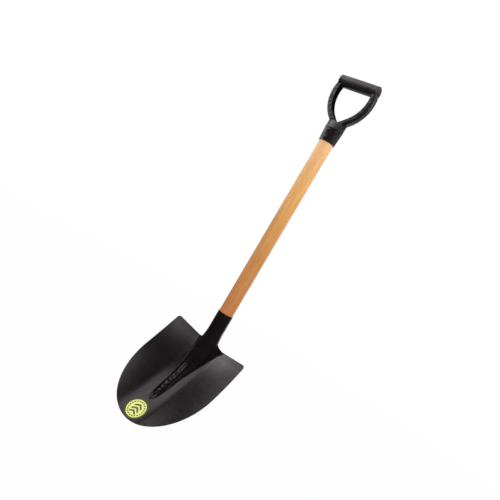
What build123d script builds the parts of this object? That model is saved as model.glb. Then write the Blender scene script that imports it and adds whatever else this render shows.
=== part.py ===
from build123d import *
import math
import os

os.makedirs("parts", exist_ok=True)

# A round-mouth shovel with a D grip: pressed blade, wooden shaft, cast yoke and moulded hand bar.
# Millimetres. The shaft's axis is Z with the grip up, the blade's hollow face looks to -Y,
# and Z is nought at the underside of the hand bar, where a peg holds the tool when it hangs.

# Clearances
wood_clearance = 0.1
rivet_clearance = 0.1
bar_clearance = 0.15
label_glue = 0.1

# Shaft: one turned length of hardwood, a little thicker at the blade
shaft_radius = 19.0
shaft_top_radius = 18.7
shaft_end_radius = 13.0
shaft_end_taper = 42.0
shaft_end_chamfer = 2.0
wood_visible = 494.0
wood_in_socket = 84.0
wood_in_collar = 40.0

# Hand bar: a moulded roller shape, thickest at the middle, with a thinner tenon at each end
bar_radius = 15.4
bar_end_radius = 15.1
bar_tenon_radius = 13.2
bar_rivet_radius = 3.0
bar_rivet_head_radius = 6.5
bar_rivet_head_height = 3.0
bar_rivet_seat_radius = 7.5

# Yoke: one casting, a collar round the wood that parts into two bowed channel arms with cups
collar_to_bar = 160.0
collar_wall = 2.6
collar_cone_height = 36.0
collar_cone_radius = 24.0
collar_height = 56.0
collar_top_half_width = 27.0
collar_top_half_depth = 13.0
arm_thickness = 13.0
arm_depth = 22.0
arm_corner_radius = 5.5
arm_wall = 2.4
arm_bow_radius = 85.0
arm_bow_half_span = 54.5
arm_bow_below_bar = 30.0
arm_fork_angle = 48.0
arm_tail = 24.0
channel_tail = 6.0
fork_radius = 10.0
cup_half_span = 55.0
cup_wall = 1.8
cup_depth = 10.0

# Rivets of the collar and of the socket
rivet_radius = 2.6
rivet_head_radius = 5.2
rivet_head_height = 2.2
yoke_rivet_heights = (8.5, 27.5)
socket_rivet_depths = (14.0, 36.0)

# Blade: one pressed sheet, dished both ways, with its socket rolled from the same sheet
sheet = 1.6
lift = 28.5
heel_back = 11.5
blade_length = 266.0
blade_half_width = 125.0
shoulder_half_width = 122.4
shoulder_rise = 7.2
shoulder_dip = 4.6
shoulder_corner_radius = 8.0
widest_at = 104.6
trough_radius = 286.0
trough_half_width = 48.0
long_radius = 900.0
socket_length = 90.0
socket_seam = 5.0
neck_rise = 38.0
neck_lead = 8.0
neck_flare_out = 46.0
neck_flare_in = 17.0
neck_flare_height = 12.0

# Crest of the blade: distance below the heel, half width at its root and height over the dish
crest_top = (45.0, 27.0, 21.0)
crest_waist = (110.0, 16.0, 11.0)
crest_nose = (165.0, 13.5, 5.0)
crest_end = (204.0, 3.0, 0.5)
crest_end_sunk = 0.9

# Skirt of the crest at the heel: distance below the heel, half width at its rim, then its
# half width and height where it runs into the crest
skirt_top = (-22.0, 48.0, 15.0, 14.0)
skirt_waist = (26.0, 37.0, 19.0, 14.0)
skirt_end = (70.0, 24.0, 16.0, 8.0)
skirt_slope = 0.12

# Label: a round sticker near the blade's tip
label_radius = 28.5
label_thickness = 0.3
label_from_tip = 30.5

# Heights and widths that follow from those sizes
bar_z = bar_radius
collar_z = bar_z - collar_to_bar
socket_z = collar_z - wood_visible
heel_z = socket_z - socket_length
shaft_bottom_z = socket_z - wood_in_socket
shaft_top_z = collar_z + wood_in_collar
socket_bore = shaft_radius + wood_clearance
socket_radius = socket_bore + sheet
collar_bore = shaft_top_radius + wood_clearance
collar_radius = collar_bore + collar_wall
hole_radius = rivet_radius + rivet_clearance
bar_hole_radius = bar_rivet_radius + rivet_clearance
cup_bore = bar_tenon_radius + bar_clearance
cup_radius = cup_bore + cup_wall
cup_floor = cup_half_span - cup_wall
cup_mouth = cup_half_span - cup_depth
bar_half_length = cup_floor - bar_clearance
bar_shoulder = cup_mouth - bar_clearance

# The blade's planes: the heel plane is tangent to the dish at the top of the blade, and
# a plane across the blade stands square to the dish at a distance below the heel
tilt = math.radians(lift)
dish_centre_y = heel_back - long_radius * math.cos(tilt)
dish_centre_z = heel_z + long_radius * math.sin(tilt)
dish_axis = Axis((0, dish_centre_y, dish_centre_z), (-1, 0, 0))
heel_front = (0, -math.cos(tilt), math.sin(tilt))
heel_plane = Plane((0, heel_back, heel_z), x_dir=(1, 0, 0), z_dir=heel_front)


def across(distance):
    """Plane square to the dish, with X to the right and Y to the front of the sheet."""
    turn = tilt + distance / long_radius
    back_y = dish_centre_y + long_radius * math.cos(turn)
    back_z = dish_centre_z - long_radius * math.sin(turn)
    return Plane((0, back_y, back_z), x_dir=(1, 0, 0), z_dir=(0, -math.sin(turn), -math.cos(turn)))


def dish_degrees(distance):
    """Turn of the long arc over a distance along the blade."""
    return math.degrees(distance / long_radius)


def trough_arc(offset, half_width):
    """Arc across the blade's trough, behind the hollow face by an offset, as wide as asked."""
    reach = math.degrees(math.asin(half_width / trough_radius))
    return CenterArc((0, trough_radius), trough_radius + offset, 270 - reach, 2 * reach)


# Dish: a round trough with a flat wing on each side, swung about a far axis from above the heel
# to past the tip, with the skirt of the crest on its front, cut to the outline
dish_start = -2 * neck_flare_height
dish_turn = dish_degrees(blade_length - 2 * dish_start)
wing_width = 1.1 * blade_half_width - trough_half_width
with BuildPart() as dish:
    with BuildSketch(across(dish_start)):
        with BuildLine():
            front = trough_arc(0, trough_half_width)
            rear = trough_arc(sheet, trough_half_width)
            for end, outwards in ((0, -(front % 0)), (1, front % 1)):
                wing_front = PolarLine(front @ end, wing_width, direction=outwards)
                wing_rear = PolarLine(rear @ end, wing_width, direction=outwards)
                Line(wing_front @ 1, wing_rear @ 1)
        make_face()
    revolve(axis=dish_axis, revolution_arc=dish_turn)
    for distance, rim, seat, height in (skirt_top, skirt_waist, skirt_end):
        with BuildSketch(across(distance)):
            with BuildLine():
                base = trough_arc(sheet / 2, rim)
                left = TangentArc(base @ 0, (-seat, height), tangent=(1, skirt_slope))
                right = TangentArc(base @ 1, (seat, height), tangent=(-1, skirt_slope))
                Line(left @ 1, right @ 1)
            make_face()
    loft()
    with BuildSketch(heel_plane):
        with BuildLine():
            mouth_length = blade_length - widest_at
            mouth = EllipticalCenterArc((0, -widest_at), blade_half_width, mouth_length, 270, arc_size=90)
            side = TangentArc(mouth @ 1, (shoulder_half_width, shoulder_rise), tangent=(0, 1))
            top = Line(side @ 1, (neck_flare_out, shoulder_rise - shoulder_dip))
            flare = TangentArc(top @ 1, (neck_flare_in, neck_flare_height), tangent=top % 1)
            Line(flare @ 1, (0, neck_flare_height))
            Line((0, neck_flare_height), mouth @ 0)
        make_face()
        mirror(about=Plane.YZ)
        upper = vertices().filter_by(lambda corner: corner.Y > -widest_at / 2)
        fillet(upper.filter_by(lambda corner: abs(corner.X) > blade_half_width / 2), shoulder_corner_radius)
    extrude(amount=blade_length, both=True, mode=Mode.INTERSECT)

# Blade: the dish with a bent taper on its front that runs up into the socket, hollow from behind
with BuildPart() as blade:
    for rise in (neck_rise + neck_lead, neck_rise):
        with BuildSketch(Plane.XY.offset(heel_z + rise)):
            Circle(socket_radius)
    for distance, half_width, height in (crest_top, crest_waist, crest_nose):
        with BuildSketch(across(distance)):
            Ellipse(half_width, height)
    end_distance, end_half_width, end_height = crest_end
    with BuildSketch(across(end_distance)):
        with Locations((0, -crest_end_sunk)):
            Ellipse(end_half_width, end_height)
    loft()
    with BuildSketch(Plane.XY.offset(heel_z + neck_rise)):
        Circle(socket_radius)
    extrude(amount=socket_length - neck_rise)
    with BuildSketch(across(dish_start)):
        with BuildLine():
            near = trough_arc(sheet / 2, 2 * socket_radius)
            far = trough_arc(3 * socket_radius, 2 * socket_radius)
            Line(near @ 0, far @ 0)
            Line(near @ 1, far @ 1)
        make_face()
    revolve(axis=dish_axis, revolution_arc=dish_turn, mode=Mode.SUBTRACT)
    add(dish.part)
    for rise in (neck_rise + neck_lead, neck_rise):
        with BuildSketch(Plane.XY.offset(heel_z + rise)):
            Circle(socket_bore)
    for distance, half_width, height in (crest_top, crest_waist, crest_nose, crest_end):
        with BuildSketch(across(distance)):
            with Locations((0, -sheet)):
                Ellipse(half_width - sheet, height)
    loft(mode=Mode.SUBTRACT)
    with BuildSketch(Plane.XY.offset(heel_z + neck_rise)):
        Circle(socket_bore)
    extrude(amount=socket_length, mode=Mode.SUBTRACT)
    with BuildSketch(Plane.XY.offset(heel_z)):
        with Locations((0, socket_radius)):
            Rectangle(socket_seam, socket_radius)
    extrude(amount=socket_length, mode=Mode.SUBTRACT)
    for depth in socket_rivet_depths:
        with BuildSketch(Plane.YZ):
            with Locations((0, socket_z - depth)):
                Circle(hole_radius)
        extrude(amount=2 * socket_radius, both=True, mode=Mode.SUBTRACT)
blade.part.label = "blade"
export_step(blade.part, "parts/blade.step")

# Label: a thin disc on a film of glue that follows the hollow face
label_at = blade_length - label_from_tip
with BuildPart() as label:
    with BuildSketch(across(dish_start)):
        with BuildLine():
            back = trough_arc(-label_glue, trough_half_width)
            face = trough_arc(-label_glue - label_thickness, trough_half_width)
            Line(back @ 0, face @ 0)
            Line(back @ 1, face @ 1)
        make_face()
    revolve(axis=dish_axis, revolution_arc=dish_turn)
    with BuildSketch(heel_plane):
        with Locations((0, -label_at)):
            Circle(label_radius)
    extrude(amount=blade_length, both=True, mode=Mode.INTERSECT)
label.part.label = "label"
export_step(label.part, "parts/label.step")

# Shaft: turned in one piece, tapered in the socket, drilled for four rivets
with BuildPart() as shaft:
    with BuildSketch(Plane.XZ):
        with BuildLine():
            Polyline(
                (0, shaft_bottom_z),
                (shaft_end_radius, shaft_bottom_z),
                (shaft_radius, shaft_bottom_z + shaft_end_taper),
                (shaft_radius, socket_z),
                (shaft_top_radius, collar_z),
                (shaft_top_radius, shaft_top_z - shaft_end_chamfer),
                (shaft_top_radius - shaft_end_chamfer, shaft_top_z),
                (0, shaft_top_z),
                close=True,
            )
        make_face()
    revolve(axis=Axis.Z)
    for depth in socket_rivet_depths:
        with BuildSketch(Plane.YZ):
            with Locations((0, socket_z - depth)):
                Circle(hole_radius)
        extrude(amount=2 * shaft_radius, both=True, mode=Mode.SUBTRACT)
    for height in yoke_rivet_heights:
        with BuildSketch(Plane.XZ):
            with Locations((0, collar_z + height)):
                Circle(hole_radius)
        extrude(amount=2 * shaft_radius, both=True, mode=Mode.SUBTRACT)
shaft.part.label = "shaft"
export_step(shaft.part, "parts/shaft.step")

# Collar of the yoke: a cone round the wood, drawn flat and wide where the arms leave it
with BuildPart() as collar:
    with BuildSketch(Plane.XY.offset(collar_z)):
        Circle(collar_radius)
    with BuildSketch(Plane.XY.offset(collar_z + collar_cone_height)):
        Circle(collar_cone_radius)
    loft()
    with BuildSketch(Plane.XY.offset(collar_z + collar_cone_height)):
        Circle(collar_cone_radius)
    with BuildSketch(Plane.XY.offset(collar_z + collar_height)):
        Ellipse(collar_top_half_width, collar_top_half_depth)
    loft()

# Centre line of one arm: an arc from the bar's axis, bowed outwards, then straight to the collar
bow_z = bar_z - arm_bow_below_bar
bow_centre_x = arm_bow_half_span - arm_bow_radius
bow_lean = math.degrees(math.asin(arm_bow_below_bar / arm_bow_radius))
with BuildLine(Plane.XZ) as arm_line:
    bow = CenterArc((bow_centre_x, bow_z), arm_bow_radius, bow_lean, -bow_lean - arm_fork_angle)
    PolarLine(bow @ 1, arm_tail, direction=bow % 1)
with BuildLine(Plane.XZ) as channel_line:
    inner_bow = CenterArc((bow_centre_x, bow_z), arm_bow_radius, bow_lean, -bow_lean - arm_fork_angle)
    PolarLine(inner_bow @ 1, channel_tail, direction=inner_bow % 1)

# Fork of the arms: the straight tails meet in a vee that is filled to a round
fork_turn = math.radians(arm_fork_angle)
inner_radius = arm_bow_radius - arm_thickness / 2
vee_z = bow_z - inner_radius * math.sin(fork_turn)
vee_z -= (bow_centre_x + inner_radius * math.cos(fork_turn)) / math.tan(fork_turn)
fork_z = vee_z + fork_radius / math.sin(fork_turn)
web_x = fork_radius * math.cos(fork_turn)
web_z = fork_z - fork_radius * math.sin(fork_turn)

# Section of an arm where it meets the bar's axis, square to the bow
arm_start = Plane(
    (bow_centre_x + arm_bow_radius * math.cos(math.radians(bow_lean)), 0, bar_z),
    x_dir=(math.cos(math.radians(bow_lean)), 0, math.sin(math.radians(bow_lean))),
    z_dir=(math.sin(math.radians(bow_lean)), 0, -math.cos(math.radians(bow_lean))),
)

# Yoke: collar, arms, fork web and cups in one casting, with channels on the arms' inner sides
with BuildPart() as yoke:
    with BuildSketch(arm_start):
        Rectangle(arm_thickness, arm_depth)
        fillet(vertices().group_by(Axis.X)[-1], arm_corner_radius)
    sweep(path=arm_line.wires()[0])
    with BuildSketch(arm_start):
        with Locations((-arm_wall, 0)):
            Rectangle(arm_thickness, arm_depth - 2 * arm_wall)
    sweep(path=channel_line.wires()[0], mode=Mode.SUBTRACT)
    mirror(about=Plane.YZ)
    with BuildSketch(Plane.XZ):
        with BuildLine():
            Polyline((-web_x, web_z), (0, vee_z - arm_thickness), (web_x, web_z), close=True)
        make_face()
        with Locations((0, fork_z)):
            Circle(fork_radius, mode=Mode.SUBTRACT)
    extrude(amount=arm_depth / 2, both=True)
    add(collar.part)
    for side in (-1, 1):
        with BuildSketch(Plane.YZ.offset(side * cup_mouth)):
            with Locations((0, bar_z)):
                Circle(cup_radius)
        extrude(amount=side * cup_depth)
    for reach, radius in ((cup_floor, cup_bore), (cup_mouth, bar_radius + bar_clearance)):
        with BuildSketch(Plane.YZ):
            with Locations((0, bar_z)):
                Circle(radius)
        extrude(amount=reach, both=True, mode=Mode.SUBTRACT)
    with BuildSketch(Plane.YZ):
        with Locations((0, bar_z)):
            Circle(bar_hole_radius)
    extrude(amount=2 * cup_half_span, both=True, mode=Mode.SUBTRACT)
    for side in (-1, 1):
        with BuildSketch(Plane.YZ.offset(side * cup_half_span)):
            with Locations((0, bar_z)):
                Circle(bar_rivet_seat_radius)
        extrude(amount=side * cup_half_span, mode=Mode.SUBTRACT)
    with BuildSketch(Plane.XY.offset(collar_z)):
        Circle(collar_bore)
    extrude(amount=wood_in_collar + bar_clearance, mode=Mode.SUBTRACT)
    for height in yoke_rivet_heights:
        with BuildSketch(Plane.XZ):
            with Locations((0, collar_z + height)):
                Circle(hole_radius)
        extrude(amount=2 * collar_radius, both=True, mode=Mode.SUBTRACT)
yoke.part.label = "yoke"
export_step(yoke.part, "parts/yoke.step")

# Hand bar: a slightly barrelled bar, level with the cups that take its tenons, bored for its rivet
with BuildPart() as grip_bar:
    with BuildSketch(Plane.XZ):
        with BuildLine():
            barrel = ThreePointArc(
                (-bar_shoulder, bar_z + bar_end_radius),
                (0, bar_z + bar_radius),
                (bar_shoulder, bar_z + bar_end_radius),
            )
            Polyline(
                barrel @ 1,
                (bar_shoulder, bar_z + bar_tenon_radius),
                (bar_half_length, bar_z + bar_tenon_radius),
                (bar_half_length, bar_z + bar_hole_radius),
                (-bar_half_length, bar_z + bar_hole_radius),
                (-bar_half_length, bar_z + bar_tenon_radius),
                (-bar_shoulder, bar_z + bar_tenon_radius),
                barrel @ 0,
            )
        make_face()
    revolve(axis=Axis((0, 0, bar_z), (1, 0, 0)))
grip_bar.part.label = "grip_bar"
export_step(grip_bar.part, "parts/grip_bar.step")

# Bar rivet: a rod through the bar and both cups with a domed head at each end
with BuildPart() as bar_rivet:
    with BuildSketch(Plane.XZ):
        with BuildLine():
            apex = (cup_half_span + bar_rivet_head_height, bar_z)
            rim = (cup_half_span, bar_z + bar_rivet_head_radius)
            TangentArc(apex, rim, tangent=(0, 1))
            Polyline(
                rim,
                (cup_half_span, bar_z + bar_rivet_radius),
                (0, bar_z + bar_rivet_radius),
                (0, bar_z),
                apex,
            )
        make_face()
    revolve(axis=Axis((0, 0, bar_z), (1, 0, 0)))
    mirror(about=Plane.YZ)
bar_rivet.part.label = "bar_rivet"
export_step(bar_rivet.part, "parts/bar_rivet.step")

# Socket rivets: side to side through the rolled socket and the wood, heads shaped to the tube
for name, depth in zip(("socket_rivet_upper", "socket_rivet_lower"), socket_rivet_depths):
    rivet_z = socket_z - depth
    root = socket_radius - rivet_head_height / 2
    with BuildPart() as socket_rivet:
        with BuildSketch(Plane.XZ):
            with BuildLine():
                apex = (socket_radius + rivet_head_height, rivet_z)
                rim = (root, rivet_z + rivet_head_radius)
                TangentArc(apex, rim, tangent=(0, 1))
                Polyline(rim, (root, rivet_z), apex)
            make_face()
        revolve(axis=Axis((0, 0, rivet_z), (1, 0, 0)))
        mirror(about=Plane.YZ)
        with BuildSketch(Plane.XY.offset(rivet_z)):
            Circle(socket_radius)
        extrude(amount=2 * rivet_head_radius, both=True, mode=Mode.SUBTRACT)
        with BuildSketch(Plane.YZ):
            with Locations((0, rivet_z)):
                Circle(rivet_radius)
        extrude(amount=socket_radius + rivet_head_height / 2, both=True)
    socket_rivet.part.label = name
    export_step(socket_rivet.part, f"parts/{name}.step")

# Yoke rivets: front to back through the collar and the wood, heads shaped to the cone
for name, height in zip(("yoke_rivet_lower", "yoke_rivet_upper"), yoke_rivet_heights):
    rivet_z = collar_z + height
    seat = collar_radius + (collar_cone_radius - collar_radius) * height / collar_cone_height
    root = seat - rivet_head_height
    with BuildPart() as yoke_rivet:
        with BuildSketch(Plane.YZ):
            with BuildLine():
                apex = (seat + rivet_head_height, rivet_z)
                rim = (root, rivet_z + rivet_head_radius)
                TangentArc(apex, rim, tangent=(0, 1))
                Polyline(rim, (root, rivet_z), apex)
            make_face()
        revolve(axis=Axis((0, 0, rivet_z), (0, 1, 0)))
        mirror(about=Plane.XZ)
        add(collar.part, mode=Mode.SUBTRACT)
        with BuildSketch(Plane.XZ):
            with Locations((0, rivet_z)):
                Circle(rivet_radius)
        extrude(amount=seat + rivet_head_height / 2, both=True)
    yoke_rivet.part.label = name
    export_step(yoke_rivet.part, f"parts/{name}.step")
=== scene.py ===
import math

import bpy
from mathutils import Matrix, Vector


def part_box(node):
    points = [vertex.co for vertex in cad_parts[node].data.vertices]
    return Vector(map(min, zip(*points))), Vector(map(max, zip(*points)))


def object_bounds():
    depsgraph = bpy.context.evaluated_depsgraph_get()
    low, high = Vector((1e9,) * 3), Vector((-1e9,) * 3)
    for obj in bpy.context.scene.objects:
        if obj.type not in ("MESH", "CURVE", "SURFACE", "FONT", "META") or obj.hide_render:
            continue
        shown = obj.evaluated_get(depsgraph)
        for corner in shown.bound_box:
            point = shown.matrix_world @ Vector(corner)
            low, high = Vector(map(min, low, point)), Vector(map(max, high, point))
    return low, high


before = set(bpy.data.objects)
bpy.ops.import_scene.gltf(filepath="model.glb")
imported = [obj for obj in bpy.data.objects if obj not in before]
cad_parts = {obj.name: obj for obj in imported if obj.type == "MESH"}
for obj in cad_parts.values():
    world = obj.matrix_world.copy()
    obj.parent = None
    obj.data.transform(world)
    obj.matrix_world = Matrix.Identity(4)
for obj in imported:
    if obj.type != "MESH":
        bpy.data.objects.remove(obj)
cad_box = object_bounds()
bpy.ops.object.select_all(action="DESELECT")


# Blade: one dished sheet of steel with its socket rolled from the same blank, so that the hollow
# crest runs from the socket down the face. The sheet is drawn hardest at the foot of the crest and
# is left uneven there. It is stove enamelled in semi-gloss black.
def new_finish(name, specular=0.5, roughness=0.5):
    finish = bpy.data.materials.new(name)
    finish.use_nodes = True
    shader = shader_of(finish)
    shader.inputs["Specular IOR Level"].default_value = specular
    shader.inputs["Roughness"].default_value = roughness
    return finish


def shader_of(finish):
    return finish.node_tree.nodes["Principled BSDF"]


def feed(finish, socket, value):
    if isinstance(value, bpy.types.NodeSocket):
        finish.node_tree.links.new(value, socket)
    else:
        socket.default_value = value


def calculate(finish, operation, first, second=0.0):
    node = finish.node_tree.nodes.new("ShaderNodeMath")
    node.operation = operation
    feed(finish, node.inputs[0], first)
    feed(finish, node.inputs[1], second)
    return node.outputs["Value"]


def map_range(finish, value, low, high, low_to, high_to):
    node = finish.node_tree.nodes.new("ShaderNodeMapRange")
    node.inputs["From Min"].default_value = low
    node.inputs["From Max"].default_value = high
    node.inputs["To Min"].default_value = low_to
    node.inputs["To Max"].default_value = high_to
    feed(finish, node.inputs["Value"], value)
    return node.outputs["Result"]


def place_on(finish, stretch=(1, 1, 1), centre=(0, 0, 0), turn=(0, 0, 0)):
    nodes = finish.node_tree.nodes
    mapping = nodes.new("ShaderNodeMapping")
    mapping.vector_type = "TEXTURE"
    mapping.inputs["Location"].default_value = centre
    mapping.inputs["Rotation"].default_value = turn
    mapping.inputs["Scale"].default_value = stretch
    feed(finish, mapping.inputs["Vector"], nodes.new("ShaderNodeTexCoord").outputs["Object"])
    return mapping.outputs["Vector"]


def axes_of(finish, place):
    node = finish.node_tree.nodes.new("ShaderNodeSeparateXYZ")
    feed(finish, node.inputs["Vector"], place)
    return node.outputs


def noise(finish, place, size, detail=2.0, roughness=0.5):
    texture = finish.node_tree.nodes.new("ShaderNodeTexNoise")
    texture.inputs["Scale"].default_value = 1 / size
    texture.inputs["Detail"].default_value = detail
    texture.inputs["Roughness"].default_value = roughness
    feed(finish, texture.inputs["Vector"], place)
    return texture.outputs["Fac"]


def colour_ramp(finish, value, stops):
    node = finish.node_tree.nodes.new("ShaderNodeValToRGB")
    elements = node.color_ramp.elements
    while len(elements) < len(stops):
        elements.new(0.5)
    for element, (position, colour) in zip(elements, stops):
        element.position = position
        element.color = (*colour, 1)
    feed(finish, node.inputs["Fac"], value)
    return node.outputs["Color"]


def bump(finish, height, depth, strength=1.0, below=None):
    node = finish.node_tree.nodes.new("ShaderNodeBump")
    node.inputs["Strength"].default_value = strength
    node.inputs["Distance"].default_value = depth
    feed(finish, node.inputs["Height"], height)
    if below is not None:
        feed(finish, node.inputs["Normal"], below)
    return node.outputs["Normal"]


# Most of a noise lies between these two values
noise_low = 0.3
noise_high = 0.7

black_sheen = (1.0, 0.90, 0.92, 1)
mottle_size = 0.045
speckle_size = 0.006


def paint_black(finish, dark, light, roughness, relief_size, relief_depth, below=None):
    shader = shader_of(finish)
    place = place_on(finish)
    mottle = noise(finish, place, mottle_size, detail=4.0)
    speckle = noise(finish, place, speckle_size, detail=3.0)
    relief = noise(finish, place, relief_size)
    colour = colour_ramp(finish, mottle, [(noise_low, dark), (noise_high, light)])
    shader.inputs["Specular Tint"].default_value = black_sheen
    feed(finish, shader.inputs["Base Color"], colour)
    feed(finish, shader.inputs["Roughness"], map_range(finish, speckle, noise_low, noise_high, *roughness))
    feed(finish, shader.inputs["Normal"], bump(finish, relief, relief_depth, below=below))


def dress(node, finish):
    for material_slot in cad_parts[node].material_slots:
        material_slot.material = finish


blade_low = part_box("blade")[0]
dents_begin = blade_low[2] + 0.155
dents_full = blade_low[2] + 0.115
dents_end = blade_low[2] + 0.049
dents_half_width = 0.018
dents_fade = 0.006
dent_size = 0.009
dent_depth = 0.002

blade_enamel = new_finish("blade_enamel")
blade_place = place_on(blade_enamel)
blade_axes = axes_of(blade_enamel, blade_place)
crest_aside = calculate(blade_enamel, "ABSOLUTE", blade_axes["X"])
crest_reach = map_range(blade_enamel, blade_axes["Z"], dents_full, dents_end, dents_half_width, 0)
crest_inside = calculate(blade_enamel, "SUBTRACT", crest_reach, crest_aside)
crest_near = map_range(blade_enamel, crest_inside, 0, dents_fade, 0, 1)
crest_below = map_range(blade_enamel, blade_axes["Z"], dents_begin, dents_full, 0, 1)
crest_foot = calculate(blade_enamel, "MULTIPLY", crest_near, crest_below)
dents = noise(blade_enamel, blade_place, dent_size, detail=1.0)
dents = calculate(blade_enamel, "MULTIPLY", dents, crest_foot)
paint_black(
    blade_enamel,
    dark=(0.0045, 0.0028, 0.0030),
    light=(0.0075, 0.0052, 0.0055),
    roughness=(0.11, 0.15),
    relief_size=0.0022,
    relief_depth=0.00001,
    below=bump(blade_enamel, dents, dent_depth),
)
dress("blade", blade_enamel)


# Label: a round paper sticker glued into the dish just above the tip. Its print is a plain one of
# its own: a dark rim, a ring of ticks and a stack of chevrons on yellow-green.
label_low, label_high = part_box("label")
label_middle = (Vector(label_low) + Vector(label_high)) / 2
label_lean = math.atan2(label_high[1] - label_low[1], label_high[2] - label_low[2])
label_radius = (label_high[0] - label_low[0]) / 2
label_ground = (0.77, 0.83, 0.24)
label_dull = tuple(0.93 * share for share in label_ground)
label_ink = (0.10, 0.11, 0.014, 1)
label_rim = (0.055, 0.060, 0.006, 1)
paper_roughness = (0.38, 0.52)
fibre_depth = 0.0001

# Sizes of the print and of the paper's fibres, as shares of the sticker's radius
rim_from = 0.86
tick_band = (0.64, 0.76)
chevron_pitch = 0.34
chevron_stack = (-0.34, 0.68)
chevron_half_width = 0.40
chevron_reach = 0.58
fibre_size = 0.05

# Ticks in a full turn, the rise of a chevron to its width, and the inked share of each pitch
tick_count = 20
chevron_slope = 0.7
tick_share = 0.6
chevron_share = 0.58

label_paper = new_finish("label_paper", specular=0.4)
paper_shader = shader_of(label_paper)
paper_place = place_on(
    label_paper,
    stretch=(label_radius, label_radius, label_radius),
    centre=label_middle,
    turn=(-label_lean, 0, 0),
)


def paper_math(operation, first, second=0.0):
    return calculate(label_paper, operation, first, second)


def within(value, low, high):
    above = paper_math("GREATER_THAN", value, low)
    return paper_math("MULTIPLY", above, paper_math("LESS_THAN", value, high))


def stripes(value, pitch, share):
    return paper_math("LESS_THAN", paper_math("FLOORED_MODULO", value, pitch), share * pitch)


def mix_colours(finish, factor, first, second, blend="MIX"):
    node = finish.node_tree.nodes.new("ShaderNodeMix")
    node.data_type = "RGBA"
    node.blend_type = blend
    feed(finish, node.inputs["Factor"], factor)
    for name, value in (("A", first), ("B", second)):
        socket = next(s for s in node.inputs if s.name == name and s.type == "RGBA")
        feed(finish, socket, value)
    return next(s for s in node.outputs if s.type == "RGBA")


paper_axes = axes_of(label_paper, paper_place)
across = paper_axes["X"]
along = paper_axes["Z"]
aside = paper_math("ABSOLUTE", across)
squares = paper_math("ADD", paper_math("MULTIPLY", across, across), paper_math("MULTIPLY", along, along))
from_middle = paper_math("SQRT", squares)
bearing = paper_math("ARCTAN2", along, across)
rim = paper_math("GREATER_THAN", from_middle, rim_from)
ticks = stripes(bearing, math.tau / tick_count, tick_share)
ticks = paper_math("MULTIPLY", ticks, within(from_middle, *tick_band))
slanted = paper_math("ADD", along, paper_math("MULTIPLY", aside, chevron_slope))
chevrons = stripes(slanted, chevron_pitch, chevron_share)
chevrons = paper_math("MULTIPLY", chevrons, within(slanted, *chevron_stack))
chevrons = paper_math("MULTIPLY", chevrons, paper_math("LESS_THAN", aside, chevron_half_width))
chevrons = paper_math("MULTIPLY", chevrons, paper_math("LESS_THAN", from_middle, chevron_reach))
fibres = noise(label_paper, paper_place, fibre_size, detail=3.0)
fibre_roughness = map_range(label_paper, fibres, noise_low, noise_high, *paper_roughness)
ground = colour_ramp(label_paper, fibres, [(noise_low, label_dull), (noise_high, label_ground)])
printed = mix_colours(label_paper, paper_math("MAXIMUM", ticks, chevrons), ground, label_ink)
feed(label_paper, paper_shader.inputs["Base Color"], mix_colours(label_paper, rim, printed, label_rim))
feed(label_paper, paper_shader.inputs["Roughness"], fibre_roughness)
feed(label_paper, paper_shader.inputs["Normal"], bump(label_paper, fibres, fibre_depth, strength=0.3))
dress("label", label_paper)


# Shaft: a straight-grained hardwood stick, turned round and clear varnished. It is driven into the
# socket below and into the collar of the yoke above, and its colour is paler towards the yoke.
shaft_low, shaft_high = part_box("shaft")
wood_low = shaft_low[2] + 0.0726
wood_high = shaft_high[2] - 0.0354
wood_colours = [
    (0.0, (0.54, 0.195, 0.056)),
    (0.5, (0.66, 0.32, 0.088)),
    (0.75, (0.80, 0.43, 0.142)),
    (1.0, (0.87, 0.52, 0.25)),
]
grain_size = 0.004
grain_stretch = (1, 1, 22)
grain_lean = (0.01, 0.015, 0)
grain_shades = [(0.35, (0.86, 0.81, 0.76)), (0.62, (1.0, 1.0, 1.0))]
pore_size = 0.0011
pore_stretch = (1, 1, 30)
pore_shades = [(0.30, (0.72, 0.64, 0.56)), (0.40, (1.0, 1.0, 1.0))]
pore_depth = 0.0002
varnish_roughness = (0.50, 0.36)

shaft_wood = new_finish("shaft_wood", specular=0.4)
wood_shader = shader_of(shaft_wood)
wood_height = axes_of(shaft_wood, place_on(shaft_wood))["Z"]
height_up = map_range(shaft_wood, wood_height, wood_low, wood_high, 0, 1)
grain_place = place_on(shaft_wood, stretch=grain_stretch, turn=grain_lean)
grain = noise(shaft_wood, grain_place, grain_size, detail=6.0, roughness=0.6)
pores = noise(shaft_wood, place_on(shaft_wood, stretch=pore_stretch), pore_size)
varnish = map_range(shaft_wood, grain, noise_low, noise_high, *varnish_roughness)
wood = colour_ramp(shaft_wood, height_up, wood_colours)
for figure, shades in ((grain, grain_shades), (pores, pore_shades)):
    wood = mix_colours(shaft_wood, 1.0, wood, colour_ramp(shaft_wood, figure, shades), blend="MULTIPLY")
feed(shaft_wood, wood_shader.inputs["Base Color"], wood)
feed(shaft_wood, wood_shader.inputs["Roughness"], varnish)
feed(shaft_wood, wood_shader.inputs["Normal"], bump(shaft_wood, pores, pore_depth, strength=0.15))
dress("shaft", shaft_wood)


# Socket rivets: two domed steel rivets across the socket and the shaft, closed with a head at each
# end. They are painted over with the socket, in the same black as the other fittings.
fitting_dark = (0.0060, 0.0048, 0.0050)
fitting_light = (0.0105, 0.0088, 0.0090)

rivet_enamel = new_finish("rivet_enamel")
paint_black(
    rivet_enamel,
    dark=fitting_dark,
    light=fitting_light,
    roughness=(0.22, 0.34),
    relief_size=0.0015,
    relief_depth=0.00004,
)
for rivet in ("socket_rivet_lower", "socket_rivet_upper"):
    dress(rivet, rivet_enamel)


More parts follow.
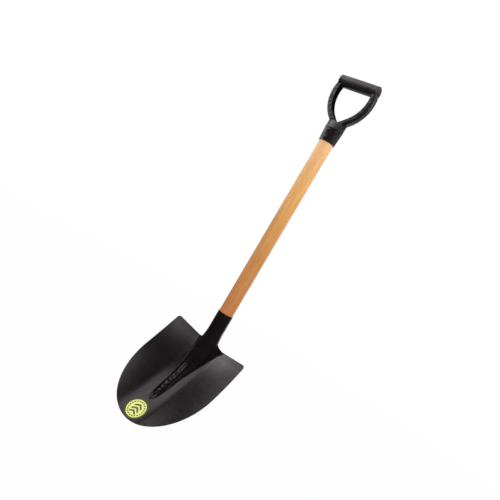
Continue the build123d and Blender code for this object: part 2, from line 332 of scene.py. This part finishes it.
# Yoke: a cast iron fork with a collar below and two channelled arms that spread up to the bar. The
# black paint on it shows the lumpy skin of the sand casting. Two rivets hold the shaft in the collar.
yoke_enamel = new_finish("yoke_enamel")
paint_black(
    yoke_enamel,
    dark=fitting_dark,
    light=fitting_light,
    roughness=(0.28, 0.44),
    relief_size=0.008,
    relief_depth=0.0015,
)
dress("yoke", yoke_enamel)
for rivet in ("yoke_rivet_lower", "yoke_rivet_upper"):
    dress(rivet, rivet_enamel)


# Grip bar: a moulded bar of black plastic between the cups of the yoke, with a fine grain from the
# mould. One long steel rivet goes through both cups and the bar and holds it.
grip_plastic = new_finish("grip_plastic")
paint_black(
    grip_plastic,
    dark=(0.0055, 0.0045, 0.0048),
    light=(0.0095, 0.0080, 0.0084),
    roughness=(0.36, 0.48),
    relief_size=0.0018,
    relief_depth=0.00008,
)
dress("grip_bar", grip_plastic)
dress("bar_rivet", rivet_enamel)


# Floor: a wide pale sheet well below the hanging tool. It reads white to the camera and keeps
# part of the shadow that falls on it.
floor_size = 14
floor_level = cad_box[0][2] - 0.36
floor_colour = (0.86, 0.86, 0.86, 1)
white = (1, 1, 1, 1)

# The white share of the floor under the tool, and further out, where no shadow is left
near_reach = 0.8
near_white = 0.85
far_reach = 5.0
far_white = 1.0

bpy.ops.mesh.primitive_plane_add(size=floor_size, location=(0, 0, floor_level))
floor = bpy.context.object
floor.name = "floor"
floor_pale = bpy.data.materials.new("floor_pale")
floor_pale.use_nodes = True
floor_nodes = floor_pale.node_tree.nodes
floor_nodes.clear()


def background_rays(owner):
    path = owner.node_tree.nodes.new("ShaderNodeLightPath")
    rays = path.outputs["Is Camera Ray"]
    for ray in ("Is Glossy Ray", "Is Transmission Ray"):
        rays = calculate(owner, "MAXIMUM", rays, path.outputs[ray])
    return rays


def mix_shaders(owner, factor, first, second):
    node = owner.node_tree.nodes.new("ShaderNodeMixShader")
    for socket, value in zip(node.inputs, (factor, first, second)):
        feed(owner, socket, value)
    return node.outputs["Shader"]


floor_reach = floor_nodes.new("ShaderNodeVectorMath")
floor_reach.operation = "LENGTH"
feed(floor_pale, floor_reach.inputs[0], floor_nodes.new("ShaderNodeTexCoord").outputs["Object"])
floor_fade = map_range(
    floor_pale, floor_reach.outputs["Value"], near_reach, far_reach, near_white, far_white
)
floor_share = calculate(floor_pale, "MULTIPLY", background_rays(floor_pale), floor_fade)
floor_diffuse = floor_nodes.new("ShaderNodeBsdfDiffuse")
floor_diffuse.inputs["Color"].default_value = floor_colour
floor_white = floor_nodes.new("ShaderNodeEmission")
floor_white.inputs["Color"].default_value = white
floor_look = mix_shaders(
    floor_pale, floor_share, floor_diffuse.outputs["BSDF"], floor_white.outputs["Emission"]
)
feed(floor_pale, floor_nodes.new("ShaderNodeOutputMaterial").inputs["Surface"], floor_look)
floor.data.materials.append(floor_pale)


# Light: an even white room and one broad lamp at the right that models the wood. Narrower soft boxes
# at the left show mainly as reflections in the black paint of the blade and of the handle.
room_strength = 0.92
backdrop_strength = 1.0
studio = bpy.data.worlds.new("studio")
bpy.context.scene.world = studio
studio.use_nodes = True
studio.cycles.sampling_method = "NONE"
studio_nodes = studio.node_tree.nodes
studio_nodes.clear()
room = []
for strength in (room_strength, backdrop_strength):
    background = studio_nodes.new("ShaderNodeBackground")
    background.inputs["Color"].default_value = white
    background.inputs["Strength"].default_value = strength
    room.append(background.outputs["Background"])
room_look = mix_shaders(studio, background_rays(studio), *room)
feed(studio, studio_nodes.new("ShaderNodeOutputWorld").inputs["Surface"], room_look)


def direction(azimuth, elevation):
    turn = math.radians(azimuth)
    rise = math.radians(elevation)
    return Vector((math.sin(turn) * math.cos(rise), -math.cos(turn) * math.cos(rise), math.sin(rise)))


def soft_box(name, aim, distance, azimuth, elevation, width, height, brightness, roll=0):
    outwards = direction(azimuth, elevation)
    facing = outwards.to_track_quat("Z", "Y").to_matrix() @ Matrix.Rotation(math.radians(roll), 3, "Z")
    lamp = bpy.data.lights.new(name, "AREA")
    lamp.shape = "RECTANGLE"
    lamp.size = width
    lamp.size_y = height
    lamp.energy = brightness * math.pi * width * height
    holder = bpy.data.objects.new(name, lamp)
    bpy.context.scene.collection.objects.link(holder)
    holder.matrix_world = Matrix.Translation(aim + outwards * distance) @ facing.to_4x4()
    holder.visible_camera = False
    return holder


far_lamp_distance = 2.2
shaft_middle = Vector((0, 0, -0.4))
blade_middle = Vector((0, -0.08, -0.83))
blade_box_height = 0.31
grip_middle = Vector((0, 0, -0.03))
collar_middle = Vector((0, 0, -0.12))
fork_foot = Vector((0, 0, -0.10))

side_light = soft_box(
    "side_light", shaft_middle, distance=far_lamp_distance,
    azimuth=85, elevation=30, width=1.6, height=1.6, brightness=2.0,
)
side_light.visible_glossy = False
soft_box(
    "soft_box_left", blade_middle, distance=far_lamp_distance,
    azimuth=-55, elevation=30, width=0.33, height=blade_box_height, brightness=5.8,
)
soft_box(
    "soft_box_wide", blade_middle, distance=far_lamp_distance,
    azimuth=-46.8, elevation=44.8, width=0.93, height=blade_box_height, brightness=1.7, roll=34,
)
soft_box(
    "soft_box_high", blade_middle, distance=far_lamp_distance,
    azimuth=-34, elevation=58.5, width=0.30, height=blade_box_height, brightness=2.2,
)
soft_box(
    "soft_box_front", blade_middle, distance=far_lamp_distance,
    azimuth=-20, elevation=38.3, width=0.42, height=blade_box_height, brightness=2.6,
)
soft_box_handle = soft_box(
    "soft_box_handle", grip_middle, distance=0.8,
    azimuth=-57, elevation=24, width=0.36, height=0.34, brightness=5.0,
)
soft_box_collar = soft_box(
    "soft_box_collar", collar_middle, distance=0.9,
    azimuth=-78, elevation=4, width=0.50, height=0.30, brightness=3.0,
)
soft_box_fork = soft_box(
    "soft_box_fork", fork_foot, distance=0.9,
    azimuth=-50, elevation=52, width=1.04, height=0.40, brightness=1.9,
)
for near_lamp in (soft_box_handle, soft_box_collar, soft_box_fork):
    near_lamp.visible_diffuse = False


# Cloth: a dark cloth hung round the tool and spread over the floor, which shows only in reflections.
# It has gaps behind the tool, at both sides and at the top, where the paint mirrors the white room.
cloth_radius = 3.0
cloth_columns = 144
cloth_rows = 72
cloth_middle = Vector((0, 0, -0.6))
cloth_lowest = floor_level + 0.01 - cloth_middle.z
cloth_dark = (0.042, 0.042, 0.042)
cloth_grey = (0.10, 0.10, 0.10)
dark_until = 0.5
grey_from = 2.7

# Each gap: azimuth from and to, then elevation from and to, in degrees
cloth_gaps = (
    (-95, -66, 32, 75),
    (22, 62, 43, 75),
    (62, 160, 14, 75),
    (150, 180, -90, 15),
    (-180, -150, -90, 25),
    (-150, -105, -90, 75),
    (-180, 180, 66, 90),
)


def in_gap(azimuth, elevation):
    return any(
        start < azimuth < end and low < elevation < high for start, end, low, high in cloth_gaps
    )


bpy.ops.mesh.primitive_uv_sphere_add(
    segments=cloth_columns, ring_count=cloth_rows, radius=cloth_radius, location=cloth_middle
)
cloth = bpy.context.object
cloth.name = "dark_cloth"
for corner in cloth.data.vertices:
    corner.co.z = max(corner.co.z, cloth_lowest)
bpy.ops.object.mode_set(mode="EDIT")
bpy.ops.mesh.select_mode(type="FACE")
bpy.ops.mesh.select_all(action="DESELECT")
bpy.ops.object.mode_set(mode="OBJECT")
for face in cloth.data.polygons:
    face_azimuth = math.degrees(math.atan2(face.center.x, -face.center.y))
    face_elevation = math.degrees(math.asin(face.center.z / face.center.length))
    face.select = in_gap(face_azimuth, face_elevation)
bpy.ops.object.mode_set(mode="EDIT")
bpy.ops.mesh.delete(type="FACE")
bpy.ops.object.mode_set(mode="OBJECT")
cloth_black = new_finish("cloth_black", specular=0.0, roughness=1.0)
cloth_right = axes_of(cloth_black, place_on(cloth_black))["X"]
cloth_reach = map_range(cloth_black, cloth_right, dark_until, grey_from, 0, 1)
cloth_shade = colour_ramp(cloth_black, cloth_reach, [(0, cloth_dark), (1, cloth_grey)])
feed(cloth_black, shader_of(cloth_black).inputs["Base Color"], cloth_shade)
cloth.data.materials.append(cloth_black)
cloth.visible_camera = False
cloth.visible_diffuse = False
cloth.visible_transmission = False
cloth.visible_shadow = False


# Camera: nearly level with the tool, and rolled until the tool lies slantwise across the picture.
# Its place and lens are those that bring the tool's outline onto the photograph's.
view_azimuth = 33.0
view_elevation = 2.37
view_roll = math.radians(30.46)
view_distance = 1.34884
aim_height = -0.4697
aim_sideways = -0.02875
view_lens = 38.73
film_width = 36

back = direction(view_azimuth, view_elevation)
level = Vector((0, 0, 1)).cross(back).normalized()
upright = back.cross(level)
right = level * math.cos(view_roll) + upright * math.sin(view_roll)
up = upright * math.cos(view_roll) - level * math.sin(view_roll)
eye = Vector((0, 0, aim_height)) + level * aim_sideways + back * view_distance
camera = bpy.data.objects.new("camera", bpy.data.cameras.new("camera"))
bpy.context.scene.collection.objects.link(camera)
camera.data.sensor_width = film_width
camera.data.lens = view_lens
camera.matrix_world = Matrix((
    (right.x, up.x, back.x, eye.x),
    (right.y, up.y, back.y, eye.y),
    (right.z, up.z, back.z, eye.z),
    (0, 0, 0, 1),
))
bpy.context.scene.camera = camera
bpy.context.scene.view_settings.view_transform = "Standard"
